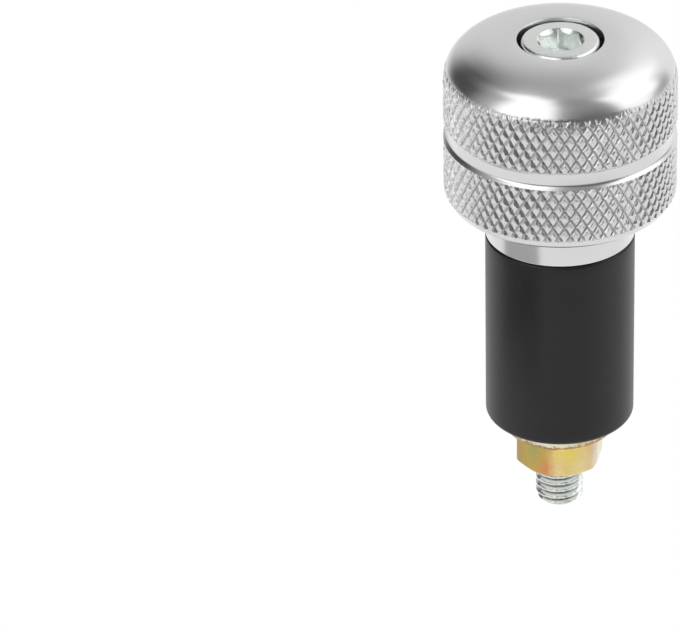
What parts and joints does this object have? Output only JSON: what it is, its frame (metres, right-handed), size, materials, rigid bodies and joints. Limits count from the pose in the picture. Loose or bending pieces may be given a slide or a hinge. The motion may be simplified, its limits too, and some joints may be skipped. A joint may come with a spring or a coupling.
{
  "type": "bar end weight",
  "caption": "Knurled, domed aluminium end weight for a handlebar tube, with a long socket screw, a rubber expander sleeve and a flanged nut.",
  "frame": {"origin": "on the axis, in the plane of the shoulder that butts against the end of the handlebar tube", "axes": "+Z along the axis, out of the tube towards the domed nose; the screw's tip points to -Z"},
  "size_m": [0.029, 0.029, 0.0661],
  "materials": {
    "aluminium": "satin",
    "bright_zinc": "bright zinc plated",
    "rubber": "satin",
    "yellow_zinc": "yellow passivated zinc plated"
  },
  "bodies": {
    "root": {"end_weight": "aluminium", "cap_screw": "bright_zinc", "rubber_sleeve": "rubber", "flange_nut": "yellow_zinc"}
  },
  "joints": []
}
